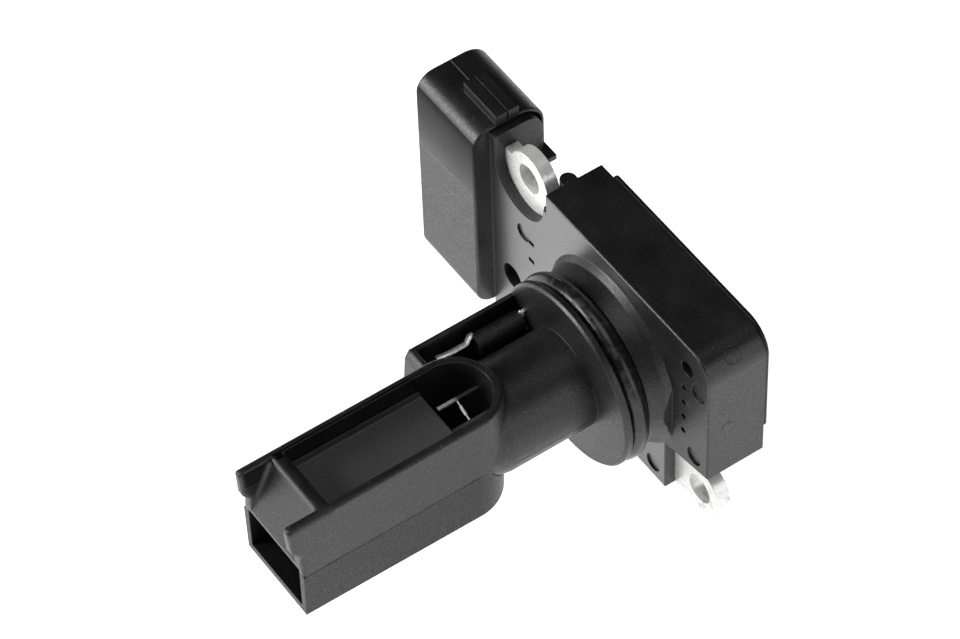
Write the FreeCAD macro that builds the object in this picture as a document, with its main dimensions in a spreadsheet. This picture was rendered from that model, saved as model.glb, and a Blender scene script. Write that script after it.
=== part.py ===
import FreeCAD, Part
import os
import re

import Sketcher
from FreeCAD import Placement, Rotation, Vector

# A plug-in mass airflow sensor. The frame: +X runs along the housing from the connector to the far
# end of the electronics box, the probe points along -Y and +Z is up. The origin is on the axis of the
# round spigot, in the flange face that seats on the air duct. All sizes are in millimetres.

doc = FreeCAD.newDocument("mass_airflow_sensor")
dim = doc.addObject("Spreadsheet::Sheet", "dim")
dim.Label = "Sizes"

SIZES = {
    # round spigot that plugs into the air duct
    "lip_radius": 13.95,            # front lip of the spigot
    "lip_thick": 1.1,
    "lip_edge": 0.35,               # bevel on the lip's front edge
    "groove_radius": 11.2,          # root of the seal groove
    "groove_wide": 3.5,
    "collar_radius": 12.85,         # collar behind the seal, at its front edge
    "collar_long": 2.4,
    "collar_root_radius": 13.7,
    "flare_high": 0.9,              # short flare from the collar to the flange
    "flare_radius": 14.45,
    "flare_flat": 13.5,             # flat that trims the flare on the +X side
    "seal_section": 3.0,            # section of the rubber ring
    "neck_radius": 7.5,
    "neck_end": 21.3,               # where the straight neck ends, below the flange face
    "neck_taper": 3.9,
    "neck_tip_in": 0.4,             # end of the taper, inside the air passage's sides
    # air passage
    "duct_top": 9.6,
    "duct_split": -0.2,             # seam between the passage body and its bottom cover
    "duct_bottom": -8.7,            # underside at the tip
    "duct_drop": 0.4,               # how much deeper the underside is at the root
    "duct_half_top": 6.45,
    "duct_half_split": 7.25,
    "duct_half_bottom": 7.0,
    "duct_root": 25.9,              # centre of the round end, below the flange face
    "cover_root": 26.8,             # the same for the bottom cover
    "duct_tip": 55.0,
    "duct_wall": 1.2,
    "horn_out": 1.4,                # the two side walls end in horns ahead of the mouth
    "horn_foot": 3.6,
    "rim_round": 0.5,               # fillet round the passage's top rim and down its horns
    "trough_floor": 5.7,
    "trough_fillet": 0.6,           # slope at the foot of the trough's side walls
    "bridge_from": 49.4,            # wall across the trough at the tip
    "bridge_thick": 1.8,
    "ramp_foot": 1.0,
    "floor_thick": 1.2,
    "shaft_from": 28.0,             # edge of the deep shaft with the hot wire
    "mouth_half": 6.1,
    "mouth_top": 0.5,
    "mouth_lip": 1.2,               # thickness of the wall over the mouth
    "cover_floor": 1.2,
    "seam_gap": 0.05,
    # guard arm beside the neck
    "arm_out": 12.6,
    "arm_top": 5.4,
    "arm_low": -4.6,
    "arm_tip": 24.8,
    "arm_tip_lean": 1.2,
    "arm_wall": 0.7,
    "arm_floor": 1.0,
    "arm_edge": 0.2,
    # flange between connector and electronics box
    "flange_left": -28.5,
    "flange_right": 12.1,
    "flange_low": -18.0,
    "flange_thick": 6.6,
    "flange_top": 17.2,
    "back_skin": 2.0,               # cored pockets in the flange's back leave this much
    "back_wall": 1.6,
    "back_from": -26.5,
    "back_pitch": 11.6,
    "back_long": 10.0,
    "back_top": -11.0,
    # electronics box
    "box_left": -15.6,
    "box_right": 21.4,
    "box_top": 17.2,
    "box_low_left": -8.4,           # underside beside the flange block
    "box_low_right": -6.5,          # underside at the far end
    "box_tuck": 1.2,                # start of the sloping edge, inside the flange plate
    "box_deep": 9.4,
    "box_corner": 4.0,
    "box_edge": 0.3,
    "box_wall": 1.4,
    "box_floor": 1.6,
    "rear_cover_left": -12.8,
    "rear_cover_thick": 0.6,
    "rear_cover_lap": 0.5,          # how far the rear cover stands over the box on top
    "clip_from": 10.5,              # the cover's lower corner at the far end is cut off
    "clip_to": -1.5,
    "rear_cover_plug": 1.0,
    "rear_cover_edge": 0.3,
    "plug_gap": 0.15,
    "rib_out": 2.4,
    "rib_radius": 1.2,
    "rib_from": 4.7,
    "rib_low": 9.0,
    "rib_high": 16.3,
    # connector shell
    "shell_front": -42.3,
    "shell_near": -2.9,             # -Y face
    "shell_far": 9.1,               # +Y face
    "shell_top": 18.9,
    "shell_low": -17.4,
    "shell_corner": 3.0,
    "shell_corner_far": 4.0,        # upper corner on the +Y side
    "shell_edge": 0.35,
    "shell_wall": 1.4,
    "shell_base": 3.2,              # wall that the blades come through
    "core_deep": 1.5,               # groove cored into the shell's +X end
    "rim_wall": 0.5,                # thin rim left outside that groove
    "end_drop": 0.8,                # post inside the groove, below the shell's top
    "end_inset": 1.2,               # and short of its +Y face
    "pad_high": 1.6,                # latch pads on top of the shell
    "pad_wide": 1.8,
    "pad_from": 6.0,                # first edge, measured from the rim along +X
    "pad_near": 4.0,                # first edge, measured from the -Y face
    "pad_pitch": 1.95,
    "key_thick": 0.8,
    "key_high": 1.2,
    "key_spread": 7.5,
    "ledge_out": 2.7,
    "ledge_thick": 0.9,
    "ledge_top": 9.95,
    "ledge_deep": 1.4,
    # metal mounting bushes
    "bolt_left": -21.7,
    "bolt_right": 17.7,
    "bolt_rise": 13.7,
    "bolt_hole": 2.3,               # radius
    "bush_radius": 4.3,
    "bush_sink": 1.65,              # bush face behind the flange face
    "bush_thick": 2.1,
    "tongue_out": 5.6,              # plate that runs on into the plastic
    "tongue_high": 1.4,
    "tongue_low": 7.0,
    "stem_out": 3.4,                # upper bush: plate that runs down into the flange
    "anchor_upper": 1.1,            # how far each plate runs on inside the plastic
    "anchor_lower": 3.6,
    "anchor_inset": 1.5,
    "pocket_radius": 5.65,
    # seats, marks and cored holes in the flange face
    "core_hole": 2.15,
    "core_hole_x": -23.9,
    "core_hole_z": -8.1,
    "core_hole_deep": 3.5,
    "gauge_hole": 1.25,
    "gauge_hole_x": 16.6,
    "gauge_hole_z": 12.7,
    "pin_hole": 0.5,
    "pin_hole_x": 15.95,
    "pin_hole_z": 7.95,
    "pin_hole_pitch": 3.0,
    "pin_hole_deep": 1.1,
    "slit_long": 1.3,
    "slit_high": 0.8,
    "slit_x": -19.8,
    "slit_z": 3.75,
    "slit_pitch": 3.75,
    "ejector_radius": 1.45,
    "ejector_deep": 0.3,
    # electrical contacts
    "blade_thick": 0.64,
    "blade_wide": 2.2,
    "blade_pitch": 5.2,
    "blade_mid": 0.75,              # height of the middle blade
    "blade_tip": 2.8,               # tip behind the shell's rim
    "lead_wide": 1.0,
    "lead_pitch": 2.4,
    "lead_mid": 1.1,
    "lead_end": -12.0,
    "tail_long": 0.6,
    "board_rest": 5.0,              # face that the board sits on
    "board_thick": 1.0,
    "board_gap": 0.4,               # round the edge of the board
    "post_radius": 1.0,
    "post_inset": 2.0,
    "tail_proud": 1.0,              # contacts stand through the board by this much
    "hole_gap": 0.1,
    "solder_high": 0.5,
    "solder_radius": 0.9,
    "strip_wide": 0.5,
    "strip_thick": 0.3,
    "hot_near_x": -1.8,
    "hot_near_z": 5.5,
    "hot_far_x": 1.7,
    "hot_far_z": 4.35,
    "hot_out": 6.75,                # strip tips, ahead of the shaft's round end
    "cold_drop": 7.7,               # second pair of strips, below the first
    "cold_out": 4.9,                # and ahead of the lower room's round end
    "wire_back": 2.9,               # each wire, behind its strips' tips
    "wire_radius": 0.12,
    "weld_gap": 0.06,
    "bead_radius": 0.22,
    "bead_long": 1.4,
    # air temperature sensor on the guard arm's side
    "temp_x": -10.0,
    "temp_z": 2.35,
    "temp_radius": 1.65,
    "temp_from": 8.35,
    "temp_long": 7.55,
    "temp_lead": 0.25,
    "temp_near_x": -9.4,
    "temp_near_z": 2.0,
    "temp_near_out": 0.3,           # how far this strip stands out of the spigot
    "temp_tab_high": 4.9,
    "temp_lead_z": 3.1,
    "temp_far_x": -10.6,
    "temp_far_z": -3.4,
    "temp_far_reach": 21.8,
    # parts on the board
    "chip_x": 7.5,
    "chip_z": 7.0,
    "chip_wide": 8.0,
    "chip_high": 7.0,
    "chip_thick": 1.5,
    "chip_leg": 0.9,
    "chip_leg_wide": 0.4,
    "chip_leg_pitch": 1.0,
    "cap_x": -7.5,
    "cap_z": 12.4,
    "cap_long": 3.2,
    "cap_wide": 1.6,
    "cap_thick": 1.2,
    "cap_pitch": 4.2,
    "res_x": 15.4,
    "res_z": 0.6,
    "res_long": 2.0,
    "res_wide": 1.25,
    "res_thick": 0.5,
    "res_pitch": 2.3,
    "gel_thick": 2.3,
}
for row, (alias, value) in enumerate(SIZES.items(), start=1):
    dim.set(f"A{row}", alias.replace("_", " "))
    dim.set(f"B{row}", str(value))
    dim.setAlias(f"B{row}", alias)
doc.recompute()

WORD = re.compile(r"[a-z][a-z_]+")
AXES = {
    "X": Rotation(Vector(0, 0, 1), Vector(1, 0, 0)),
    "Y": Rotation(Vector(0, 0, 1), Vector(0, 1, 0)),
    "Z": Rotation(),
}
made = {}


def tied(text):
    """An expression with each size's name pointed at its cell."""
    return WORD.sub(lambda m: "dim." + m.group(0) if m.group(0) in SIZES else m.group(0), str(text))


def bind(item, prop, text):
    item.setExpression(prop, tied(text))


def seat(item, x, y, z):
    bind(item, "Placement.Base.x", x)
    bind(item, "Placement.Base.y", y)
    bind(item, "Placement.Base.z", z)


def block(name, x, y, z):
    """A box between two planes along each axis."""
    item = doc.addObject("Part::Box", name)
    bind(item, "Length", f"({x[1]}) - ({x[0]})")
    bind(item, "Width", f"({y[1]}) - ({y[0]})")
    bind(item, "Height", f"({z[1]}) - ({z[0]})")
    seat(item, x[0], y[0], z[0])
    return item


def rod(name, axis, radius, start, end, across):
    """A cylinder along an axis, from start to end, with its centre line at the two places across."""
    item = doc.addObject("Part::Cylinder", name)
    item.Placement = Placement(Vector(), AXES[axis])
    bind(item, "Radius", radius)
    bind(item, "Height", f"({end}) - ({start})")
    place = {"X": (start, *across), "Y": (across[0], start, across[1]), "Z": (*across, start)}[axis]
    seat(item, *place)
    return item


def cone(name, axis, radius_start, radius_end, start, end, across):
    item = doc.addObject("Part::Cone", name)
    item.Placement = Placement(Vector(), AXES[axis])
    bind(item, "Radius1", radius_start)
    bind(item, "Radius2", radius_end)
    bind(item, "Height", f"({end}) - ({start})")
    place = {"X": (start, *across), "Y": (across[0], start, across[1]), "Z": (*across, start)}[axis]
    seat(item, *place)
    return item


def joined(name, *items):
    item = doc.addObject("Part::MultiFuse", name)
    item.Shapes = list(items)
    item.Refine = True
    return item


def shared(name, first, second):
    item = doc.addObject("Part::Common", name)
    item.Base = first
    item.Tool = second
    return item


def less(name, base, *tools):
    """The base with every tool taken away."""
    item = doc.addObject("Part::Cut", name)
    item.Base = base
    item.Tool = tools[0] if len(tools) == 1 else joined(name + "_tools", *tools)
    item.Refine = True
    return item


def profile(name, plane, corners, start, length, rounded=None, rims=None):
    """A padded outline. Each corner is a pair of expressions in the plane's own two directions.
    Rounded gives some corners a fillet, {corner number: radius}, and rims rounds the whole edge
    of the pad's first face (0) or last face (1): {face: radius}."""
    body = doc.addObject("PartDesign::Body", name)
    sketch = body.newObject("Sketcher::SketchObject", name + "_outline")
    origin = next(f for f in body.Origin.OriginFeatures if f.Role == plane)
    sketch.AttachmentSupport = (origin, [""])
    sketch.MapMode = "FlatFace"
    bind(sketch, "AttachmentOffset.Base.z", start)
    count = len(corners)
    rough = [Vector(evaluate(u), evaluate(v), 0) for u, v in corners]
    for i in range(count):
        sketch.addGeometry(Part.LineSegment(rough[i], rough[(i + 1) % count]), False)
    for i in range(count):
        sketch.addConstraint(Sketcher.Constraint("Coincident", i, 2, (i + 1) % count, 1))
    for i, (u, v) in enumerate(corners):
        for kind, text, value in (("DistanceX", u, rough[i].x), ("DistanceY", v, rough[i].y)):
            number = sketch.addConstraint(Sketcher.Constraint(kind, i, 1, value))
            sketch.setExpression(f"Constraints[{number}]", tied(text))
    pad = body.newObject("PartDesign::Pad", name + "_pad")
    pad.Profile = sketch
    bind(pad, "Length", length)
    doc.recompute()
    if rounded:
        lift = sketch.Placement.Rotation
        for k, (corner, radius) in enumerate(rounded.items()):
            base = body.Tip
            at = sketch.Placement.multVec(rough[corner])
            along = lift.multVec(Vector(0, 0, 1))
            edges = []
            for n, edge in enumerate(base.Shape.Edges, start=1):
                run = edge.Vertexes[-1].Point.sub(edge.Vertexes[0].Point)
                straight = run.Length > 1e-6 and run.cross(along).Length < 1e-6 * run.Length
                if straight and edge.Vertexes[0].Point.sub(at).cross(along).Length < 1e-4:
                    edges.append(f"Edge{n}")
            fillet = body.newObject("PartDesign::Fillet", f"{name}_round{k}")
            fillet.Base = (base, edges)
            bind(fillet, "Radius", radius)
            body.Tip = fillet
            doc.recompute()
    for face, radius in (rims or {}).items():
        base = body.Tip
        level = face * pad.Length.Value
        out = sketch.Placement.Rotation.multVec(Vector(0, 0, 1))
        edges = []
        for n, edge in enumerate(base.Shape.Edges, start=1):
            heights = [v.Point.sub(sketch.Placement.Base).dot(out) for v in edge.Vertexes]
            if all(abs(height - level) < 1e-4 for height in heights):
                edges.append(f"Edge{n}")
        fillet = body.newObject("PartDesign::Fillet", f"{name}_rim{face}")
        fillet.Base = (base, edges)
        bind(fillet, "Radius", radius)
        body.Tip = fillet
        doc.recompute()
    return body


def softened(name, item, radius, wanted):
    """A copy of a shape with one fillet on every edge whose bounding box passes the test."""
    body = doc.addObject("PartDesign::Body", name)
    body.BaseFeature = item
    doc.recompute()
    base = body.Group[0]
    edges = [f"Edge{n}" for n, edge in enumerate(base.Shape.Edges, start=1) if wanted(edge.BoundBox)]
    fillet = body.newObject("PartDesign::Fillet", name + "_fillet")
    fillet.Base = (base, edges)
    bind(fillet, "Radius", radius)
    body.Tip = fillet
    doc.recompute()
    return body


def evaluate(text):
    """The present value of an expression, for a sketch's first rough shape."""
    return float(dim.evalExpression(WORD.sub(lambda m: m.group(0), tied(text).replace("dim.", ""))))


def piece(name, item):
    """A finished sub-part: one solid, or a group of like solids, in its own file."""
    item.Label = name
    made[name] = item
    return item


# Spigot: lip, seal groove, collar and flare, turned about the Y axis.
LIP_FRONT = "-(flare_high + collar_long + groove_wide + lip_thick)"
GROOVE_FRONT = "-(flare_high + collar_long + groove_wide)"
COLLAR_FRONT = "-(flare_high + collar_long)"
lip = rod("lip", "Y", "lip_radius", f"{LIP_FRONT} + lip_edge", GROOVE_FRONT, ("0", "0"))
lip_bevel = cone("lip_bevel", "Y", "lip_radius - lip_edge", "lip_radius", LIP_FRONT,
                 f"{LIP_FRONT} + lip_edge", ("0", "0"))
core = rod("core", "Y", "groove_radius", GROOVE_FRONT, COLLAR_FRONT, ("0", "0"))
collar = cone("collar", "Y", "collar_radius", "collar_root_radius", COLLAR_FRONT, "-flare_high",
              ("0", "0"))
flare_cone = cone("flare_cone", "Y", "collar_root_radius", "flare_radius", "-flare_high", "0",
                  ("0", "0"))
flare_trim = block("flare_trim", ("flare_flat", "flare_radius + 1"), ("-flare_high - 2", "0.001"),
                   ("-flare_radius", "flare_radius"))
flare = less("flare", joined("flare_whole", collar, flare_cone), flare_trim)
neck = rod("neck", "Y", "neck_radius", "-neck_end", LIP_FRONT, ("0", "0"))
NECK_TIP = "(duct_half_split - neck_tip_in)"
neck_taper = cone("neck_taper_cone", "Y", NECK_TIP, "neck_radius",
                  "-(neck_end + neck_taper)", "-neck_end", ("0", "0"))
spigot = joined("spigot", lip, lip_bevel, core, flare, neck, neck_taper)


def stadium(name, low, high, half_low, half_high, tip, root="duct_root"):
    """A tapered slab with a round end about the passage's own centre line, between two heights."""
    slab = doc.addObject("Part::Wedge", name + "_slab")
    slab.Placement = Placement(Vector(), Rotation(Vector(1, 0, 0), 90))
    bind(slab, "Ymin", low)
    bind(slab, "Ymax", high)
    bind(slab, "Xmin", f"-({half_low})")
    bind(slab, "Xmax", half_low)
    bind(slab, "Zmin", root)
    bind(slab, "Zmax", tip)
    bind(slab, "X2min", f"-({half_high})")
    bind(slab, "X2max", half_high)
    bind(slab, "Z2min", root)
    bind(slab, "Z2max", tip)
    end = cone(name + "_end", "Z", half_low, half_high, low, high, ("0", f"-({root})"))
    return joined(name, slab, end)


# Passage body: the upper half, open on top as a trough, with a deep shaft at its round end.
BEYOND = "duct_tip + horn_out + 1"
upper_plan = stadium("upper_plan", "duct_split", "duct_top", "duct_half_split", "duct_half_top",
                     BEYOND)
upper_side = profile(
    "upper_side", "YZ_Plane",
    [("0", "duct_split"),
     ("0", "duct_top"),
     ("-(duct_tip + horn_out)", "duct_top"),
     ("-(duct_tip + horn_out * 0.75)", "horn_foot + horn_out"),
     ("-duct_tip", "horn_foot"),
     ("-duct_tip", "duct_split")],
    "-duct_half_split - 2", "2 * (duct_half_split + 2)")
upper_whole = shared("upper_whole", upper_plan, upper_side)
TOP = evaluate("duct_top")
TIP = evaluate("-duct_tip")
CORNER = evaluate("duct_half_top / 2")
upper_soft = softened(
    "upper_soft", upper_whole, "rim_round",
    lambda box: box.ZMin > TOP - 0.1
    or (box.YMax < TIP + 0.1 and abs(box.Center.x) > CORNER and 0 < box.ZMax < TOP + 0.1))
INSIDE = "(duct_half_top - duct_wall)"
lower_room = rod("lower_room", "Z", "mouth_half", "duct_bottom + cover_floor", "duct_split + 0.5",
                 ("0", "-cover_root"))
trough_box = block("trough_box", (f"-{INSIDE}", INSIDE), ("-bridge_from", "-duct_root"),
                   ("trough_floor", "duct_top + 1"))
trough_end = rod("trough_end", "Z", INSIDE, "trough_floor", "duct_top + 1", ("0", "-duct_root"))
trough_feet = []
for i, side in enumerate(("-", "")):
    wall = f"{side}{INSIDE}" if side else INSIDE
    back = f"{side}({INSIDE} + 0.3)"
    foot = f"{side}({INSIDE} - trough_fillet)"
    trough_feet.append(profile(
        f"trough_foot{i}", "XZ_Plane",
        [(back, "trough_floor - 0.3"),
         (foot, "trough_floor - 0.3"),
         (foot, "trough_floor"),
         (wall, "trough_floor + trough_fillet"),
         (back, "trough_floor + trough_fillet")],
        "shaft_from", "bridge_from - shaft_from + 0.3"))
shaft_box = block("shaft_box", (f"-{INSIDE}", INSIDE), ("-shaft_from", "-duct_root"),
                  ("duct_split - 1", "trough_floor + 0.5"))
shaft_round = rod("shaft_round", "Z", INSIDE, "duct_split - 1", "trough_floor + 0.5",
                  ("0", "-duct_root"))
shaft_half = block("shaft_half", ("-duct_half_split", "duct_half_split"),
                   ("-duct_root - 0.5", "-duct_root + duct_half_split"),
                   ("duct_split - 1", "trough_floor + 0.5"))
shaft_end = shared("shaft_end", shaft_round, shaft_half)
under = block("under", ("-mouth_half", "mouth_half"), ("-duct_tip + mouth_lip", "-shaft_from + 0.001"),
              ("duct_split - 1", "trough_floor - floor_thick"))
under_ramp = profile(
    "under_ramp", "YZ_Plane",
    [("-(duct_tip + horn_out) - 1", "ramp_foot - 4"),
     ("-(bridge_from + bridge_thick) + 0.6", "duct_top - floor_thick - 1.6"),
     ("-(duct_tip + horn_out) - 1", "duct_top + 4")],
    "-mouth_half - 1", "2 * (mouth_half + 1)")
under_open = less("under_open", under, under_ramp)
mouth_upper = block("mouth_upper", ("-mouth_half", "mouth_half"), ("-duct_tip - 2", "-duct_tip + mouth_lip + 0.5"),
                    ("duct_split - 1", "mouth_top"))
ramp_cut = profile(
    "ramp_cut", "YZ_Plane",
    [("-(bridge_from + bridge_thick)", "duct_top"),
     ("-duct_tip", "ramp_foot"),
     ("-(duct_tip + horn_out) - 1", "ramp_foot"),
     ("-(duct_tip + horn_out) - 1", "duct_top + 1"),
     ("-(bridge_from + bridge_thick)", "duct_top + 1")],
    f"-{INSIDE}", f"2 * {INSIDE}")

# Guard arm: an open tray on the -X side of the neck that shields the temperature sensor.
arm_side = profile(
    "arm_side", "YZ_Plane",
    [(LIP_FRONT, "arm_low"),
     (LIP_FRONT, "arm_top"),
     ("-arm_tip", "arm_top"),
     ("-(arm_tip + arm_tip_lean * 0.6)", "arm_top - arm_tip_lean"),
     ("-(arm_tip + arm_tip_lean)", "arm_low / 2"),
     ("-(arm_tip + arm_tip_lean * 0.6)", "arm_low")],
    "-arm_out", f"arm_out - {NECK_TIP} * 0.6", None, {0: "arm_edge"})
arm_inside = block("arm_inside", ("-arm_out + arm_wall", "0"), ("-arm_tip + arm_wall", LIP_FRONT),
                   ("arm_low + arm_floor", "arm_top + 1"))
arm_clear = stadium("arm_clear", "duct_bottom - duct_drop - 1", "duct_split",
                    "duct_half_bottom + seam_gap", "duct_half_split + seam_gap", BEYOND, "cover_root")
arm = less("arm", arm_side, arm_inside, arm_clear)

# Flange plate between the connector and the electronics box.
flange_plate = block("flange_plate", ("flange_left", "flange_right"), ("0", "flange_thick"),
                     ("flange_low", "box_low_left + 2"))
flange_upper = block("flange_upper", ("flange_left", "box_left + 1"), ("0", "flange_thick"),
                     ("box_low_left", "bolt_rise"))

# The post that closes the pocket towards the connector follows the shell's end, inside its rim.
flange_post = profile(
    "flange_post", "YZ_Plane",
    [("0", "bolt_rise - pocket_radius"),
     ("shell_far - end_inset", "bolt_rise - pocket_radius"),
     ("shell_far - end_inset", "shell_top - end_drop"),
     ("0", "shell_top - end_drop")],
    "flange_left - core_deep", "bolt_left - pocket_radius - flange_left + core_deep",
    {2: "shell_corner_far - end_inset"})

# Electronics box, with its corner by the far end rounded.
box_outer = profile(
    "box_outer", "XZ_Plane",
    [("box_left", "box_low_left"),
     ("flange_right - box_tuck",
      "box_low_left - box_tuck * (box_low_right - box_low_left) / (box_right - flange_right)"),
     ("box_right", "box_low_right"),
     ("box_right", "box_top"),
     ("box_left", "box_top")],
    "-box_deep", "box_deep", {3: "box_corner"}, {1: "box_edge"})
cavity = profile(
    "cavity", "XZ_Plane",
    [("box_left + box_wall", "box_low_right + box_wall"),
     ("clip_from", "box_low_right + box_wall"),
     ("box_right - box_wall", "clip_to + box_wall"),
     ("box_right - box_wall", "box_top - box_wall"),
     ("box_left + box_wall", "box_top - box_wall")],
    "-box_deep - 1", "box_deep + 1 - box_floor", {3: "box_corner - box_wall"})
rib = rod("rib", "Z", "rib_radius", "rib_low", "rib_high", ("box_left - rib_out + rib_radius", "rib_from"))
rib_web = block("rib_web", ("box_left - rib_out + rib_radius", "box_left + 0.5"),
                ("rib_from - rib_radius", "rib_from + rib_radius"), ("rib_low", "rib_high"))
posts = []
for name, x, z in (
    ("post_a", "box_left + box_wall + post_inset", "box_top - box_wall - post_inset"),
    ("post_b", "box_right - box_wall - post_inset", "box_top - box_wall - post_inset - 1"),
    ("post_c", "box_right - box_wall - post_inset", "clip_to + box_wall + post_inset + 1"),
    ("post_d", "box_left + box_wall + 3 * post_inset", "box_low_right + box_wall + post_inset"),
):
    posts.append(rod(name, "Y", "post_radius", "box_floor - 0.2", "board_rest", (x, z)))

# Connector shell: a deep oblong socket that opens towards -X.
shell_outer = profile(
    "shell_outer", "YZ_Plane",
    [("shell_near", "shell_low"),
     ("shell_far", "shell_low"),
     ("shell_far", "shell_top"),
     ("shell_near", "shell_top")],
    "shell_front", "flange_left - shell_front",
    {0: "shell_corner", 1: "shell_corner", 2: "shell_corner_far", 3: "shell_corner"},
    {0: "shell_edge", 1: "shell_edge"})
socket = profile(
    "socket", "YZ_Plane",
    [("shell_near + shell_wall", "shell_low + shell_wall"),
     ("shell_far - shell_wall", "shell_low + shell_wall"),
     ("shell_far - shell_wall", "shell_top - shell_wall"),
     ("shell_near + shell_wall", "shell_top - shell_wall")],
    "shell_front - 1", "flange_left - shell_base - shell_front + 1",
    {0: "shell_corner - shell_wall", 1: "shell_corner - shell_wall",
     2: "shell_corner_far - shell_wall", 3: "shell_corner - shell_wall"})
end_core = profile(
    "end_core", "YZ_Plane",
    [("0", "ledge_top"),
     ("shell_far - rim_wall", "ledge_top"),
     ("shell_far - rim_wall", "shell_top - rim_wall"),
     ("0", "shell_top - rim_wall")],
    "flange_left - core_deep", "core_deep + 1", {2: "shell_corner_far - rim_wall"})
pads = []
for i in range(2):
    near = f"shell_near + pad_near + {i} * pad_pitch"
    pads.append(block(f"pad{i}", ("shell_front + pad_from", "flange_left"), (near, f"{near} + pad_wide"),
                      ("shell_top - rim_wall", "shell_top + pad_high")))
keys = []
for i, side in enumerate(("-", "+")):
    mid = f"(shell_low + shell_top) / 2 {side} key_spread"
    keys.append(block(f"key{i}", ("shell_front + 1.5", "flange_left - shell_base + 0.5"),
                      ("shell_far - shell_wall - key_high", "shell_far - shell_wall + 0.2"),
                      (f"{mid} - key_thick / 2", f"{mid} + key_thick / 2")))
ledge = block("ledge", ("flange_left - 0.5", "flange_left + ledge_out"),
              ("shell_far - ledge_deep", "shell_far"), ("ledge_top - ledge_thick", "ledge_top"))

# The space round the upper bush, and the cored holes and marks in the flange face.
pocket_round = rod("pocket_round", "Y", "pocket_radius", "-1", "flange_thick + 1",
                   ("bolt_left", "bolt_rise"))
pocket_slot = block("pocket_slot", ("bolt_left - pocket_radius", "bolt_left + pocket_radius"),
                    ("-1", "flange_thick + 1"), ("bolt_rise", "flange_top + 2"))
marks = [rod("core_hole_cut", "Y", "core_hole", "-1", "core_hole_deep", ("core_hole_x", "core_hole_z")),
         rod("gauge_hole_cut", "Y", "gauge_hole", "-1", "pin_hole_deep", ("gauge_hole_x", "gauge_hole_z"))]
for i in range(3):
    left = f"back_from + {i} * back_pitch"
    marks.append(block(f"back_core{i}", (left, f"{left} + back_long"), ("back_skin", "flange_thick + 1"),
                       ("flange_low + back_wall", "back_top")))
for i in range(4):
    marks.append(rod(f"pin_hole{i}", "Y", "pin_hole", "-1", "pin_hole_deep",
                     ("pin_hole_x", f"pin_hole_z - {i} * pin_hole_pitch")))
for i in range(2):
    marks.append(block(f"slit{i}", ("slit_x", "slit_x + slit_long"), ("-1", "pin_hole_deep"),
                       (f"slit_z - {i} * slit_pitch - slit_high / 2",
                        f"slit_z - {i} * slit_pitch + slit_high / 2")))
for i, (x, z) in enumerate((("slit_x - 1.2", "slit_z + 0.5"),
                            ("pin_hole_x + 3.1", "pin_hole_z + 1.9"),
                            ("pin_hole_x + 2.5", "box_low_right + 2.1"),
                            ("flange_right - 2.8", "flange_low + 2.5"))):
    marks.append(rod(f"ejector{i}", "Y", "ejector_radius", "-1", "ejector_deep", (x, z)))


def plate(name, x, z, low, high, right, anchor):
    """A stamped bush plate: a round eye with a tongue that runs into the plastic."""
    back = "bush_sink + bush_thick"
    eye = rod(name + "_eye", "Y", "bush_radius", "bush_sink", back, (x, z))
    tongue = block(name + "_tongue", (f"{x} - tongue_out", right), ("bush_sink", back), (low, high))
    held = block(name + "_anchor", (f"{x} - tongue_out - {anchor}", x), ("bush_sink", back),
                 (f"{low} + anchor_inset", f"{high} - anchor_inset"))
    hole = rod(name + "_hole", "Y", "bolt_hole", "bush_sink - 1", f"{back} + 1", (x, z))
    return piece(name, less(name + "_plate", joined(name + "_blank", eye, tongue, held), hole))


bush_upper = plate("bush_upper", "bolt_left", "bolt_rise", "bolt_rise - tongue_low",
                   "bolt_rise + tongue_high", "bolt_left + stem_out", "anchor_upper")
bush_lower = plate("bush_lower", "bolt_right", "-bolt_rise", "-bolt_rise - bush_radius",
                   "-bolt_rise + tongue_low", "bolt_right", "anchor_lower")

# Contact blades, from the socket through the flange to the circuit board.
LEAD_Y = "(shell_near + shell_far) / 2 - blade_thick / 2"
blades = []
for i in range(5):
    step = i - 2
    wide = f"(blade_mid + {step} * blade_pitch)"
    thin = f"(lead_mid + {step} * lead_pitch)"
    base = "(flange_left - shell_base)"
    flat = profile(
        f"blade{i}_flat", "XZ_Plane",
        [("shell_front + blade_tip + 0.8", f"{wide} - blade_wide / 2"),
         (f"{base} + 0.3", f"{wide} - blade_wide / 2"),
         ("flange_left - 0.3", f"{thin} - lead_wide / 2"),
         ("lead_end", f"{thin} - lead_wide / 2"),
         ("lead_end", f"{thin} + lead_wide / 2"),
         ("flange_left - 0.3", f"{thin} + lead_wide / 2"),
         (f"{base} + 0.3", f"{wide} + blade_wide / 2"),
         ("shell_front + blade_tip + 0.8", f"{wide} + blade_wide / 2"),
         ("shell_front + blade_tip", f"{wide} + blade_wide / 4"),
         ("shell_front + blade_tip", f"{wide} - blade_wide / 4")],
        f"-({LEAD_Y}) - blade_thick", "blade_thick")
    tail = block(f"blade{i}_tail", ("lead_end - tail_long", "lead_end"),
                 (LEAD_Y, "board_rest + board_thick + tail_proud"),
                 (f"{thin} - lead_wide / 2", f"{thin} + lead_wide / 2"))
    blades.append(piece(f"contact_blade_{i + 1}", joined(f"blade{i}", flat, tail)))


def strip(name, x, z, reach, tip=None):
    """A flat contact strip along the probe, from its tip through the floor of the box and the board."""
    body = block(name + "_run", (f"{x} - strip_wide / 2", f"{x} + strip_wide / 2"),
                 (f"-({reach})", "board_rest + board_thick + tail_proud"),
                 (f"{z} - strip_thick / 2", f"{z} + strip_thick / 2"))
    return piece(name, joined(name + "_bent", body, tip) if tip else body)


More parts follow.
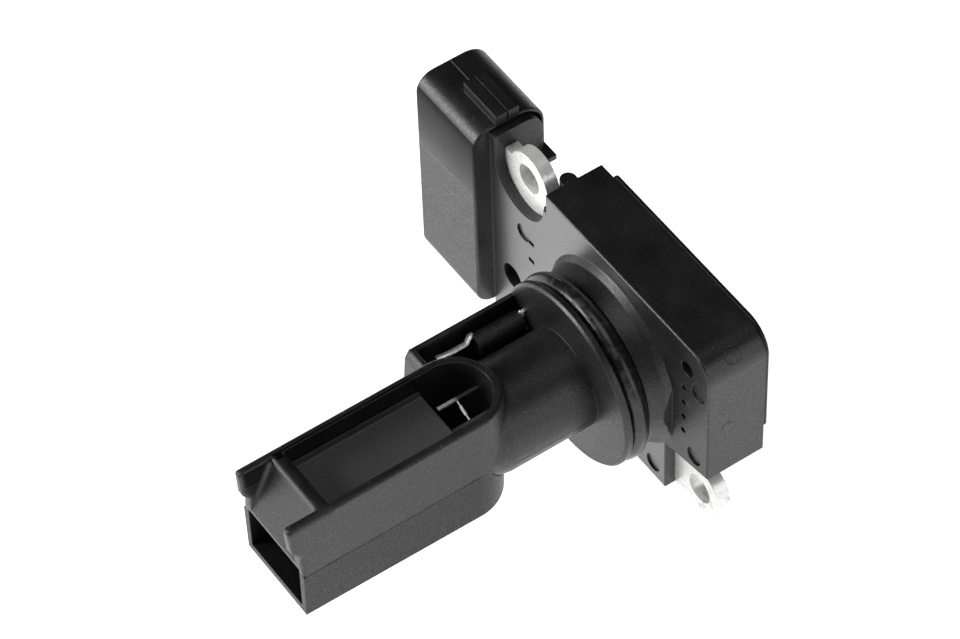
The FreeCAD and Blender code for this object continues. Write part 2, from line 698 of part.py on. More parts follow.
HOT_REACH = f"(duct_root - {INSIDE} + hot_out)"
COLD_REACH = "(cover_root - mouth_half + cold_out)"
hot_strips = [
    strip("hot_wire_strip_a", "hot_near_x", "hot_near_z", HOT_REACH),
    strip("hot_wire_strip_b", "hot_far_x", "hot_far_z", HOT_REACH),
]
cold_strips = [
    strip("cold_wire_strip_a", "hot_near_x", "hot_near_z - cold_drop", COLD_REACH),
    strip("cold_wire_strip_b", "hot_far_x", "hot_far_z - cold_drop", COLD_REACH),
]
NEAR_TIP = f"({LIP_FRONT} - temp_near_out)"
near_tab = block("near_tab", ("temp_near_x - strip_wide / 2", "temp_near_x + strip_wide / 2"),
                 (NEAR_TIP, f"{NEAR_TIP} + strip_thick"), ("temp_near_z", "temp_tab_high"))
far_tab = block("far_tab", ("temp_far_x - strip_wide / 2", "temp_far_x + strip_wide / 2"),
                ("-temp_far_reach", "-temp_far_reach + strip_thick"), ("temp_far_z", "temp_lead_z + temp_lead"))
temp_strips = [
    strip("temperature_strip_near", "temp_near_x", "temp_near_z", f"-{NEAR_TIP}", near_tab),
    strip("temperature_strip_far", "temp_far_x", "temp_far_z", "temp_far_reach", far_tab),
]
strips = hot_strips + cold_strips + temp_strips

# The one-piece moulded housing, moulded round the bush plates, blades and strips.
probe_open = [trough_box, trough_end, shaft_box, shaft_end, lower_room, under_open, mouth_upper,
              ramp_cut]
probe = less("probe", joined("probe_whole", upper_soft, spigot, arm), *probe_open)
head = less("head", joined("head_whole", flange_plate, flange_upper, box_outer), cavity,
            pocket_round, pocket_slot, *marks)
shell = less("shell", joined("shell_whole", shell_outer, *pads), socket, end_core)
housing_bare = joined("housing_bare", probe, head, flange_post, rib, rib_web, shell, ledge,
                      *trough_feet, *keys, *posts)
inserts = joined("inserts", bush_upper, bush_lower, *blades, *strips)
housing = piece("housing", less("housing_moulding", housing_bare, inserts))

# Bottom cover of the air passage: a channel with a round closed end, welded on along the seam.
SEAM = "duct_split - seam_gap"
lower_plan = stadium("lower_plan", "duct_bottom - duct_drop", SEAM, "duct_half_bottom",
                     "duct_half_split", BEYOND, "cover_root")
lower_side = profile(
    "lower_side", "YZ_Plane",
    [("0", SEAM),
     ("-duct_tip", SEAM),
     ("-duct_tip", "duct_bottom"),
     ("-duct_root", "duct_bottom - duct_drop"),
     ("0", "duct_bottom - duct_drop")],
    "-duct_half_split - 2", "2 * (duct_half_split + 2)")
lower_whole = shared("lower_whole", lower_plan, lower_side)
channel = block("channel", ("-mouth_half", "mouth_half"), ("-duct_tip - 1", "-cover_root"),
                ("duct_bottom + cover_floor", "duct_split + 1"))
channel_end = rod("channel_end", "Z", "mouth_half", "duct_bottom + cover_floor", "duct_split + 1",
                  ("0", "-cover_root"))
neck_clear = rod("neck_clear", "Y", "neck_radius + seam_gap", "-neck_end", "0", ("0", "0"))
neck_clear_tip = cone("neck_clear_tip", "Y", f"{NECK_TIP} + seam_gap", "neck_radius + seam_gap",
                      "-(neck_end + neck_taper) - seam_gap", "-neck_end", ("0", "0"))
passage_cover = piece("passage_cover", less("passage_cover_shell", lower_whole, channel, channel_end,
                                            neck_clear, neck_clear_tip))

# Rear cover of the electronics box, with a plug that drops inside the walls.
cover_plate = profile(
    "cover_plate", "XZ_Plane",
    [("rear_cover_left", "box_low_right + 0.2"),
     ("clip_from + 0.5", "box_low_right + 0.2"),
     ("box_right", "clip_to"),
     ("box_right", "box_top + rear_cover_lap"),
     ("rear_cover_left", "box_top + rear_cover_lap")],
    "-(box_deep + rear_cover_thick)", "rear_cover_thick",
    {3: "box_corner + rear_cover_lap", 4: "rear_cover_lap"}, {0: "rear_cover_edge"})
cover_plug = profile(
    "cover_plug", "XZ_Plane",
    [("rear_cover_left + plug_gap", "box_low_right + box_wall + plug_gap"),
     ("clip_from - plug_gap", "box_low_right + box_wall + plug_gap"),
     ("box_right - box_wall - plug_gap", "clip_to + box_wall + plug_gap"),
     ("box_right - box_wall - plug_gap", "box_top - box_wall - plug_gap"),
     ("rear_cover_left + plug_gap", "box_top - box_wall - plug_gap")],
    "-box_deep - 0.001", "rear_cover_plug", {3: "box_corner - box_wall"})
rear_cover = piece("rear_cover", joined("rear_cover_whole", cover_plate, cover_plug))

# Seal ring in the spigot's groove.
seal = doc.addObject("Part::Torus", "seal")
seal.Placement = Placement(Vector(), AXES["Y"])
bind(seal, "Radius1", "groove_radius + seal_section / 2")
bind(seal, "Radius2", "seal_section / 2")
seat(seal, "0", f"{COLLAR_FRONT} - groove_wide / 2", "0")
piece("seal_ring", seal)

# Circuit board on its posts, with a hole for each contact that stands through it.
def cavity_fill(name, gap, start, thick):
    """A slab across the electronics cavity, with a gap all round."""
    return profile(
        name, "XZ_Plane",
        [(f"box_left + box_wall + {gap}", f"box_low_right + box_wall + {gap}"),
         (f"clip_from - {gap}", f"box_low_right + box_wall + {gap}"),
         (f"box_right - box_wall - {gap}", f"clip_to + box_wall + {gap}"),
         (f"box_right - box_wall - {gap}", f"box_top - box_wall - {gap}"),
         (f"box_left + box_wall + {gap}", f"box_top - box_wall - {gap}")],
        f"-({start}) - ({thick})", thick, {3: "box_corner - box_wall"})


board_blank = cavity_fill("board_blank", "board_gap", "board_rest", "board_thick")
tails = [("lead_end - tail_long / 2", f"lead_mid + {i - 2} * lead_pitch", "tail_long", "lead_wide")
         for i in range(5)]
for x, z in (("hot_near_x", "hot_near_z"), ("hot_far_x", "hot_far_z"),
             ("hot_near_x", "hot_near_z - cold_drop"), ("hot_far_x", "hot_far_z - cold_drop"),
             ("temp_near_x", "temp_near_z"), ("temp_far_x", "temp_far_z")):
    tails.append((x, z, "strip_wide", "strip_thick"))
holes = []
solder = []
BOARD_BACK = "board_rest + board_thick"
for i, (x, z, wide, high) in enumerate(tails):
    holes.append(block(f"hole{i}", (f"{x} - {wide} / 2 - hole_gap", f"{x} + {wide} / 2 + hole_gap"),
                       ("board_rest - 1", f"{BOARD_BACK} + 1"),
                       (f"{z} - {high} / 2 - hole_gap", f"{z} + {high} / 2 + hole_gap")))
    dome = cone(f"dome{i}", "Y", "solder_radius", "solder_radius / 2", BOARD_BACK,
                f"{BOARD_BACK} + solder_high", (x, z))
    stem = block(f"stem{i}", (f"{x} - {wide} / 2", f"{x} + {wide} / 2"),
                 ("board_rest", f"{BOARD_BACK} + 2 * tail_proud"), (f"{z} - {high} / 2", f"{z} + {high} / 2"))
    solder.append(less(f"joint{i}", dome, stem))
board = piece("circuit_board", less("board", board_blank, *holes))
solder_joints = doc.addObject("Part::Compound", "solder_group")
solder_joints.Links = solder
piece("solder_joints", solder_joints)

# Parts on the board: the control chip with its legs, ceramic capacitors and resistors.
chip_body = block("chip_body", ("chip_x - chip_wide / 2", "chip_x + chip_wide / 2"),
                  (f"{BOARD_BACK} + 0.1", f"{BOARD_BACK} + chip_thick"),
                  ("chip_z - chip_high / 2", "chip_z + chip_high / 2"))
legs = []
for i in range(6):
    height = f"chip_z + ({i} - 2.5) * chip_leg_pitch"
    for side, sign in (("a", "-"), ("b", "+")):
        edge = f"chip_x {sign} chip_wide / 2"
        span = (f"{edge} - chip_leg", f"{edge} + 0.2") if sign == "-" else (f"{edge} - 0.2", f"{edge} + chip_leg")
        legs.append(block(f"leg{i}{side}", span, (BOARD_BACK, f"{BOARD_BACK} + 0.3"),
                          (f"{height} - chip_leg_wide / 2", f"{height} + chip_leg_wide / 2")))
chip = piece("control_chip", joined("chip", chip_body, *legs))
caps = []
for i in range(3):
    mid = f"cap_x + {i} * cap_pitch"
    caps.append(block(f"cap{i}", (f"{mid} - cap_long / 2", f"{mid} + cap_long / 2"),
                      (BOARD_BACK, f"{BOARD_BACK} + cap_thick"),
                      ("cap_z - cap_wide / 2", "cap_z + cap_wide / 2")))
resistors = []
for i in range(4):
    mid = f"res_z + {i} * res_pitch"
    resistors.append(block(f"res{i}", ("res_x - res_long / 2", "res_x + res_long / 2"),
                           (BOARD_BACK, f"{BOARD_BACK} + res_thick"),
                           (f"{mid} - res_wide / 2", f"{mid} + res_wide / 2")))
capacitors = doc.addObject("Part::Compound", "capacitor_group")
capacitors.Links = caps
piece("board_capacitors", capacitors)
resistor_group = doc.addObject("Part::Compound", "resistor_group")
resistor_group.Links = resistors
piece("board_resistors", resistor_group)

# Soft gel poured over the board to keep out damp.
gel_block = cavity_fill("gel_block", "0", BOARD_BACK, "gel_thick")
gel_room = joined("gel_room", chip, *caps, *resistors, *solder, *blades, *strips)
piece("potting_gel", less("gel", gel_block, gel_room))


def element(name, z_near, z_far, reach):
    """A fine wire between two strips, with a glass-coated winding in the middle."""
    span = "((hot_far_x - hot_near_x) - strip_wide - 2 * weld_gap)"
    fall = f"(({z_near}) - ({z_far}))"
    length = f"sqrt({span} * {span} + {fall} * {fall})"
    parts = []
    for part, radius, long in (("wire", "wire_radius", length), ("bead", "bead_radius", "bead_long")):
        item = doc.addObject("Part::Cylinder", f"{name}_{part}")
        item.Placement = Placement(Vector(), Rotation(Vector(0, 1, 0), 90))
        bind(item, "Radius", radius)
        bind(item, "Height", long)
        bind(item, "Placement.Rotation.Angle", f"90 deg + atan({fall} / {span})")
        back = f"({long}) / 2 / {length}"
        seat(item, f"(hot_near_x + hot_far_x) / 2 - {span} * {back}", f"-({reach} - wire_back)",
             f"(({z_near}) + ({z_far})) / 2 + {fall} * {back}")
        parts.append(item)
    return piece(name, joined(name, *parts))


element("hot_wire_element", "hot_near_z", "hot_far_z", HOT_REACH)
element("cold_wire_element", "hot_near_z - cold_drop", "hot_far_z - cold_drop", COLD_REACH)

# Air temperature sensor: a sleeve along the neck, held by its two leads.
sleeve = rod("sleeve", "Y", "temp_radius", "-(temp_from + temp_long)", "-temp_from", ("temp_x", "temp_z"))
piece("temperature_sleeve", sleeve)
lead_near = rod("lead_near", "Y", "temp_lead", "-temp_from", NEAR_TIP, ("temp_near_x", "temp_lead_z"))
piece("temperature_lead_near", lead_near)
lead_far = rod("lead_far", "Y", "temp_lead", "-temp_far_reach + strip_thick",
               "-(temp_from + temp_long)", ("temp_far_x", "temp_lead_z"))
piece("temperature_lead_far", lead_far)

doc.recompute()
for item in doc.Objects:
    if "Invalid" in item.State or "Error" in item.State:
        raise RuntimeError(f"{item.Name} failed: {item.State}")
for name, item in made.items():
    if item.Shape.isNull() or not item.Shape.isValid() or not item.Shape.Solids:
        raise RuntimeError(f"{name} has no valid shape")

os.makedirs("parts", exist_ok=True)
for name, item in made.items():
    shape = item.Shape
    shape.exportStep(f"parts/{name}.step")
    box = shape.BoundBox
    print(f"{name:26s} solids {len(shape.Solids)} volume {shape.Volume:10.2f} "
          f"x {box.XMin:7.2f} {box.XMax:7.2f} y {box.YMin:7.2f} {box.YMax:7.2f} "
          f"z {box.ZMin:7.2f} {box.ZMax:7.2f}")
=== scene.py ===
"""A mass airflow sensor lying in its own frame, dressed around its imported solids.

Metres throughout. The flange seats on the plane y = 0, the probe points along -Y, and +Z points up
from the table that the part lies on.
"""

import math

import bpy
from mathutils import Matrix, Vector


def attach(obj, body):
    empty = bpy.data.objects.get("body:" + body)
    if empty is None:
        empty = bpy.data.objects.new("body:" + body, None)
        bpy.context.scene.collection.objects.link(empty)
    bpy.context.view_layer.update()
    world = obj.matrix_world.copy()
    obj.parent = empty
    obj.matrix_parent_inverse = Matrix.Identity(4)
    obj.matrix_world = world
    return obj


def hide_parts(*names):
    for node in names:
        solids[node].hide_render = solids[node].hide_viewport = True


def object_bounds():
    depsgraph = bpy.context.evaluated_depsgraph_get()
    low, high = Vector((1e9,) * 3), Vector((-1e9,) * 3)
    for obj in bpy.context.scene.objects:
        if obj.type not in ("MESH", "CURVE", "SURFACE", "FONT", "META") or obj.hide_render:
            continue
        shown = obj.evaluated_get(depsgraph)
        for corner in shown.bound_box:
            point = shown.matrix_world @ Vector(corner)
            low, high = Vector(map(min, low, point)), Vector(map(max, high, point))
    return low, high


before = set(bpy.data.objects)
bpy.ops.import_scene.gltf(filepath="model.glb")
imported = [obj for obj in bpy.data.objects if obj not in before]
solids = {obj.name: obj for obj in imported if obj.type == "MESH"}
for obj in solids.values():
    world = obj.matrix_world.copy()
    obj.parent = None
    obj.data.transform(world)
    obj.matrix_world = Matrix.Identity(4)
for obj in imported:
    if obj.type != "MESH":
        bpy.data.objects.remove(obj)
cad_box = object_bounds()


# --- Housing ------------------------------------------------------------------------------------
# The one moulding that carries everything: connector shroud, flange, head box, spigot and probe.
# Black glass-filled nylon, shot into an eroded steel tool, so its skin is fine grained and satin.
class Wire:
    """One output of a node. Sums on it add Math nodes, and make() adds a node of any kind."""

    def __init__(self, tree, socket=None):
        self.tree = tree
        self.socket = socket

    def make(self, kind, settings, links, output=0):
        node = self.tree.nodes.new(kind)
        for name, value in settings.items():
            setattr(node, name, value)
        for name, value in links.items():
            if isinstance(value, Wire):
                self.tree.links.new(value.socket, node.inputs[name])
            else:
                node.inputs[name].default_value = value
        return Wire(self.tree, node.outputs[output] if node.outputs else None)

    def sum_of(self, operation, first, second):
        return self.make("ShaderNodeMath", {"operation": operation}, {0: first, 1: second})

    def __add__(self, other):
        return self.sum_of("ADD", self, other)

    def __sub__(self, other):
        return self.sum_of("SUBTRACT", self, other)

    def __rsub__(self, other):
        return self.sum_of("SUBTRACT", other, self)

    def __mul__(self, other):
        return self.sum_of("MULTIPLY", self, other)

    def __lt__(self, other):
        return self.sum_of("LESS_THAN", self, other)

    def __gt__(self, other):
        return self.sum_of("GREATER_THAN", self, other)

    __radd__ = __add__
    __rmul__ = __mul__


def new_finish(name):
    """An empty material, the wire that starts its nodes, and its object coordinates in metres."""
    material = bpy.data.materials.new(name)
    material.use_nodes = True
    material.node_tree.nodes.clear()
    start = Wire(material.node_tree)
    place = start.make("ShaderNodeTexCoord", {}, {}, "Object")
    return material, start, place


def close_finish(material, start, inputs):
    """Feeds a Principled shader with inputs and puts it on the material's surface."""
    shader = start.make("ShaderNodeBsdfPrincipled", {}, inputs)
    start.make("ShaderNodeOutputMaterial", {}, {"Surface": shader})
    return material


def axes(place):
    """The three coordinates of a place, each a wire of its own."""
    return [place.make("ShaderNodeSeparateXYZ", {}, {"Vector": place}, axis) for axis in "XYZ"]


def noise(place, scale, detail=2.0, rough=0.5):
    """Cloudy noise with scale cells to the metre."""
    return place.make("ShaderNodeTexNoise", {},
                      {"Vector": place, "Scale": scale, "Detail": detail, "Roughness": rough})


def between(value, low, high, low_out, high_out):
    """value carried from low..high to low_out..high_out, and held there beyond."""
    return value.make("ShaderNodeMapRange", {"clamp": True}, {
        "Value": value, "From Min": low, "From Max": high, "To Min": low_out, "To Max": high_out})


def mixed(start, factor, first, second):
    """The first colour or vector where factor is nought, the second where it is one."""
    return start.make("ShaderNodeMix", {"data_type": "RGBA"}, {0: factor, 6: first, 7: second}, 2)


def moulded_black(name, tone, rough, edge, grain_depth, marks=None, soft=None, specular=0.5):
    """Black engineering plastic: eroded grain, pale fibre specks, flow mottling, dust, fine rubs.

    marks() may add the piece's own, as wires for height, darkening, paling, polish and roughness;
    on the housing most of the darkening is painted shade, and part of the paling is a painted
    highlight.
    soft() says where the moulding's corners are rounded more than elsewhere.
    """
    material, start, place = new_finish(name)
    grain = noise(place, 4200.0, 3.0, 0.6)
    pits = noise(place, 2100.0, 2.0, 0.55)
    grit = noise(place, 4600.0, 2.0, 0.7)
    flow = noise(place, 110.0, 4.0, 0.6)
    patch = noise(place, 260.0, 1.0)
    cells = start.make("ShaderNodeTexVoronoi", {"feature": "F1"},
                       {"Vector": place, "Scale": 640.0}, "Distance")
    dust = between(cells, 0.03, 0.07, 1.0, 0.0) * (patch > 0.57)
    drawn = start.make("ShaderNodeMapping", {}, {
        "Vector": place, "Rotation": (0.4, 0.9, 0.2), "Scale": (260.0, 5200.0, 900.0)})
    rubs = between(noise(drawn, 1.0), 0.66, 0.74, 0.0, 1.0) * between(flow, 0.5, 0.62, 0.0, 1.0)
    speck = between(pits, 0.42, 0.72, 0.0, 1.0)
    height, dark, pale, polish, matt = marks(place) if marks else (0.0, 0.0, 0.0, 0.0, 0.0)

    deep = (tone * 0.35, tone * 0.35, tone * 0.36, 1)
    light = (tone * 1.7, tone * 1.7, tone * 1.68, 1)
    # The pale tone below pales the marks, and on the housing it also paints a highlight on the
    # trough's foot.
    pale_and_painted_highlight_tone = (0.12, 0.12, 0.119, 1)
    dust_grain = (0.4, 0.4, 0.39, 1)
    shade = (0.001, 0.001, 0.001, 1)
    skin = mixed(start, between(flow, 0.32, 0.68, 0.0, 0.6) + speck * 0.25, deep, light)
    paled_with_painted_highlight = mixed(start, pale * between(grain, 0.3, 0.7, 0.5, 1.0), skin, pale_and_painted_highlight_tone)
    dusted = mixed(start, dust * 0.4 + rubs * 0.05, paled_with_painted_highlight, dust_grain)
    # Where dark says so, the skin goes near-black: for the most part painted shade.
    colour = mixed(start, dark, dusted, shade)

    uneven = between(flow, 0.3, 0.7, rough - 0.05, rough + 0.05)
    shine = uneven + (grain - 0.5) * 0.3 + dust * 0.25 + rubs * 0.1 + matt
    glint = between(grit, 0.5, 0.62, 0.0, 1.0)
    gloss = polish + glint * between(flow, 0.3, 0.7, 0.25, 0.5)

    arris = start.make("ShaderNodeBevel", {"samples": 6}, {"Radius": edge})
    if soft:
        rounded = start.make("ShaderNodeBevel", {"samples": 8}, {"Radius": edge * 6.0})
        arris = mixed(start, soft(place), arris, rounded)
    relief = grain * 0.7 + pits * 0.9 + rubs * 0.25 + height
    skin_normal = start.make("ShaderNodeBump", {}, {
        "Strength": 1.0, "Distance": grain_depth, "Height": relief, "Normal": arris})
    return close_finish(material, start, {
        "Base Color": colour, "Roughness": shine, "Coat Weight": gloss, "Coat Roughness": 0.28,
        "Specular IOR Level": specular, "Normal": skin_normal})


def near(value, middle, half):
    """One on the middle value, falling to nothing at half to either side."""
    off = value.make("ShaderNodeMath", {"operation": "ABSOLUTE"}, {0: value - middle})
    return between(off, half * 0.5, half, 1.0, 0.0)


def inside(value, low, high):
    """One where value lies between low and high, nought elsewhere."""
    return (value > low) * (value < high)


def away_from(place, point):
    """The distance of a place from a point."""
    return place.make("ShaderNodeVectorMath", {"operation": "DISTANCE"},
                      {0: place, 1: point}, "Value")


def housing_marks(place):
    """Tool and handling marks with painted shade and a painted highlight: height, darkening,
    paling, polish, roughness.
    """
    x, y, z = axes(place)
    waver = (noise(place, 900.0) - 0.5) * 0.00012
    broken = between(noise(place, 1400.0), 0.42, 0.5, 0.0, 1.0)
    lumps = noise(place, 2400.0, 2.0, 0.6)

    # Parting lines: over the connector shroud, along the neck, and across the disc behind it.
    shell_line = near(y + waver, 0.0029, 0.00012) * inside(x, -0.0420, -0.0364) * (z > 0.0185)
    neck_line = near(z + waver, -0.0012, 0.00011) * inside(y, -0.0215, -0.0079) * (x > 0.0060)
    disc_line = near(z + waver * 2.0, -0.0058, 0.0001) * inside(y, -0.0081, -0.0077) * (x > 0.0068)

    # An ejector's faint ring, darkened with a painted shadow of its edge, and the torn-off gate on
    # the box's closed end.
    ejector = away_from(place, (0.0206, 0.0047, 0.0163))
    # The ring's darkening is a painted shadow of the recess edge.
    ring = near(ejector, 0.0013, 0.00014) * (x > 0.0185) * (broken + 0.3)
    torn = away_from(place, (0.0214, 0.0032, 0.0030)) + (lumps - 0.5) * 0.001
    gate = between(torn, 0.0005, 0.0008, 1.0, 0.0)

    # The flange's seat and the floors of its shallow ejector marks are rubbed bright.
    seat_face = (near(y, 0.0, 0.00006) + near(y, 0.0003, 0.00006)) * (x < 0.0118)

    # The trough: its floor is paled, and the lowest part of its foot is paled as a painted
    # highlight.
    # Painted shade darkens the rest of its foot and the wall above.
    bridge, shaft = -0.0496, -0.0279
    floor_top, slope_top = 0.00576, 0.00625
    # The floor and the lowest part of the foot are paled here; on the foot the pale band is a
    # painted highlight.
    paled_with_painted_highlight = inside(z, 0.0053, floor_top) * inside(y, bridge, shaft) * inside(x, -0.0053, 0.0053)
    slope = (inside(z, floor_top, slope_top) * inside(y, bridge, -0.0270)
             * inside(x, -0.0055, -0.0045))
    wall = inside(x, -0.00562, -0.0045) * (z > slope_top) * (y > -0.0570)
    shaded_wall = wall * between(y, -0.0300, -0.0258, 1.0, 0.0)

    # The connector shroud: matt and darker towards its long face's top and black on its end, both
    # darkenings painted shade, with two scratches.
    shell_front = y < -0.0026
    shell_top_painted_shade = between(z, 0.0060, 0.0180, 0.0, 1.0) * shell_front * (x < -0.0284)
    shell_end_painted_shade = between(x, -0.0287, -0.0280, 0.0, 1.0) * (x < -0.0240) * (y < -0.0004)
    long_scratch = near(z - (x + 0.0399) * 0.105, 0.0056, 0.00008) * inside(x, -0.0400, -0.0300)
    short_scratch = near(z + (x + 0.0370) * 0.25, 0.0030, 0.00007) * inside(x, -0.0372, -0.0335)
    scratch = (long_scratch + short_scratch) * shell_front * broken

    height = (shell_line * 3.0 - neck_line * broken * 5.0 - disc_line * 2.0 - ring * 2.5
              + gate * lumps * 16.0)
    # Darkening: painted shade on the ring, the trough's foot and wall, and the shroud's top and
    # end; the neck's parting line is a dark mark.
    dark = (neck_line * broken * 0.9 + ring * 0.3
            + (shaded_wall + shell_end_painted_shade + shell_top_painted_shade + slope) * 0.9)
    # Paling: the trough floor, a painted highlight on its foot, the gate, the shroud's parting line
    # and the scratches.
    pale = paled_with_painted_highlight * 0.75 + gate * 0.3 + shell_line * 0.5 + scratch * 1.4
    polish = seat_face * 0.9 - shaded_wall - shell_end_painted_shade - shell_top_painted_shade * 0.7 - slope * 0.7
    matt = neck_line * 0.3 + shell_top_painted_shade * 0.5 + slope * 0.2 - (shaded_wall + shell_end_painted_shade) * 0.24
    return height, dark, pale, polish, matt


def soft_corners(place):
    """The neck's foot and the horns at the mouth have a larger radius than the other corners."""
    _, y, z = axes(place)
    neck_foot = inside(y, -0.0252, -0.0185) * (z < 0.0086)
    horns = (y < -0.0492) * (z > 0.0)
    return neck_foot + horns


def dress(node, material):
    """Gives a CAD node that keeps its shape this material in every slot."""
    mesh = solids[node].data
    mesh.materials.clear()
    mesh.materials.append(material)


dress("housing", moulded_black("housing_black", tone=0.011, rough=0.42, edge=0.00022,
                               grain_depth=0.00003, marks=housing_marks, soft=soft_corners))


# --- Covers -------------------------------------------------------------------------------------
# The passage cover closes the probe from below and the rear cover closes the head: same nylon,
# moulded apart and welded on, each with a slightly smoother skin than the housing.
cover_black = moulded_black("cover_black", tone=0.01, rough=0.42, edge=0.00018,
                            grain_depth=0.000026, specular=0.22)
dress("passage_cover", cover_black)
dress("rear_cover", cover_black)


# --- Seal ring ----------------------------------------------------------------------------------
# A moulded O-ring of black rubber, stretched into the groove behind the spigot's lip.
# Its skin is wavy and carries smears of grease and a bloom of talc.
def black_rubber():
    material, start, place = new_finish("seal_rubber")
    wave = noise(place, 330.0)
    talc = noise(place, 1500.0, 4.0, 0.65)
    bloom = between(talc, 0.56, 0.75, 0.0, 1.0)
    film = between(noise(place, 620.0, 3.0, 0.6), 0.5, 0.66, 0.0, 1.0)
    colour = mixed(start, bloom * 0.3 + film * 0.25, (0.01, 0.01, 0.01, 1), (0.11, 0.11, 0.108, 1))
    shine = between(wave, 0.35, 0.65, 0.2, 0.34) + bloom * 0.2 + film * 0.12
    skin = start.make("ShaderNodeBump", {},
                      {"Strength": 1.0, "Distance": 0.00006, "Height": wave * 0.8 + talc * 0.12})
    return close_finish(material, start, {"Base Color": colour, "Roughness": shine, "Normal": skin})


dress("seal_ring", black_rubber())


# --- Screw bushes -------------------------------------------------------------------------------
# Two flat stamped eyelets of plated brass, moulded into the flange so the screws clamp on metal.
def plated_metal(name, tone, rough, scuff, edge, dull=0.0, shade_from=None):
    """Bright plated sheet: lines of the rolling, scuffs and dull stains, softened punched edges.

    dull is the share of the skin that has gone matt. Past shade_from along Y it is darkened with
    painted shade.
    """
    material, start, place = new_finish(name)
    drawn = start.make("ShaderNodeMapping", {}, {
        "Vector": place, "Rotation": (0.0, 0.6, 0.0), "Scale": (500.0, 4000.0, 6000.0)})
    lines = noise(drawn, 1.0, 3.0, 0.7)
    marks = between(noise(place, 620.0, 4.0, 0.62), 0.55, 0.68, 0.0, 1.0) * scuff
    bright = (tone, tone, tone * 0.985, 1)
    stained = (tone * 0.3, tone * 0.3, tone * 0.29, 1)
    colour = mixed(start, marks, bright, stained)
    if shade_from is not None:
        y = axes(place)[1]
        # Painted shade: past shade_from the plating is darkened as if it stood in shade.
        strip_painted_shade = between(y, shade_from - 0.0004, shade_from + 0.0004, 0.0, 0.92)
        colour = mixed(start, strip_painted_shade, colour, (0.03, 0.03, 0.03, 1))
    shine = between(lines, 0.3, 0.7, rough - 0.06, rough + 0.08) + marks * 0.2
    arris = start.make("ShaderNodeBevel", {"samples": 6}, {"Radius": edge})
    skin = start.make("ShaderNodeBump", {}, {
        "Strength": 1.0, "Distance": 0.000012, "Height": lines + marks * 0.8, "Normal": arris})
    return close_finish(material, start, {
        "Base Color": colour, "Roughness": shine, "Metallic": 1.0 - dull, "Normal": skin})


bush_plating = plated_metal("bush_plating", tone=0.95, rough=0.3, scuff=0.55, edge=0.00012,
                            dull=0.6)
dress("bush_upper", bush_plating)
dress("bush_lower", bush_plating)


# --- Connector blades ---------------------------------------------------------------------------
# Five tin-plated blades, cut from strip. They are pressed through the shroud's floor and stand in
# it for the plug, and their tails run on to the board, where they are soldered.
blade_tin = plated_metal("blade_tin", tone=0.7, rough=0.26, scuff=0.35, edge=0.00006)
for blade in range(1, 6):
    dress(f"contact_blade_{blade}", blade_tin)


# --- Sensing wires ------------------------------------------------------------------------------
# The hot and the cold platinum elements, each a glass-coated coil welded across two nickel strips.
# Only the strip that stands in the light is bright; the strips in shade get a dark finish as
# painted shade, and the bright one is darkened with painted shade past its middle.
# A dark finish as painted shade for the three strips that stand in shade.
strip_in_painted_shade = plated_metal("strip_in_painted_shade", tone=0.16, rough=0.5, scuff=0.6, edge=0.00005)
hot_nickel = plated_metal("hot_nickel", tone=0.9, rough=0.3, scuff=0.4, edge=0.00005, dull=0.5,
                          shade_from=-0.0246)
dress("hot_wire_strip_a", hot_nickel)
for strip in ("hot_wire_strip_b", "cold_wire_strip_a", "cold_wire_strip_b"):
    dress(strip, strip_in_painted_shade)


def milky_glass():
    material, start, place = new_finish("element_glass")
    cloud = noise(place, 2600.0, 3.0)
    colour = mixed(start, between(cloud, 0.35, 0.65, 0.0, 1.0),
                   (0.86, 0.86, 0.84, 1), (0.97, 0.97, 0.96, 1))
    shine = between(cloud, 0.35, 0.65, 0.12, 0.25)
    skin = start.make("ShaderNodeBump", {}, {"Strength": 0.6, "Distance": 0.00003, "Height": cloud})
    return close_finish(material, start, {
        "Base Color": colour, "Roughness": shine, "Normal": skin, "Coat Weight": 0.4})


element_glass = milky_glass()
dress("hot_wire_element", element_glass)
dress("cold_wire_element", element_glass)


# --- Air temperature sensor ---------------------------------------------------------------------
# A thermistor in a black epoxy sleeve, hung across the guard arm's opening on two leads of tinned
# ribbon. The far lead is cranked up to the sleeve, the near one is soldered on the spigot's face.
dress("temperature_sleeve", moulded_black("sleeve_epoxy", tone=0.012, rough=0.5, edge=0.0001,
                                          grain_depth=0.00006))
strip_nickel = plated_metal("strip_nickel", tone=0.8, rough=0.28, scuff=0.5, edge=0.00005)
dress("temperature_strip_near", strip_nickel)
dress("temperature_strip_far", strip_nickel)


def corners_of(node):
    """The two far corners of a CAD node's box, in metres."""
    points = [Vector(corner) for corner in solids[node].bound_box]
    low = Vector([min(point[axis] for point in points) for axis in range(3)])
    high = Vector([max(point[axis] for point in points) for axis in range(3)])
    return low, high


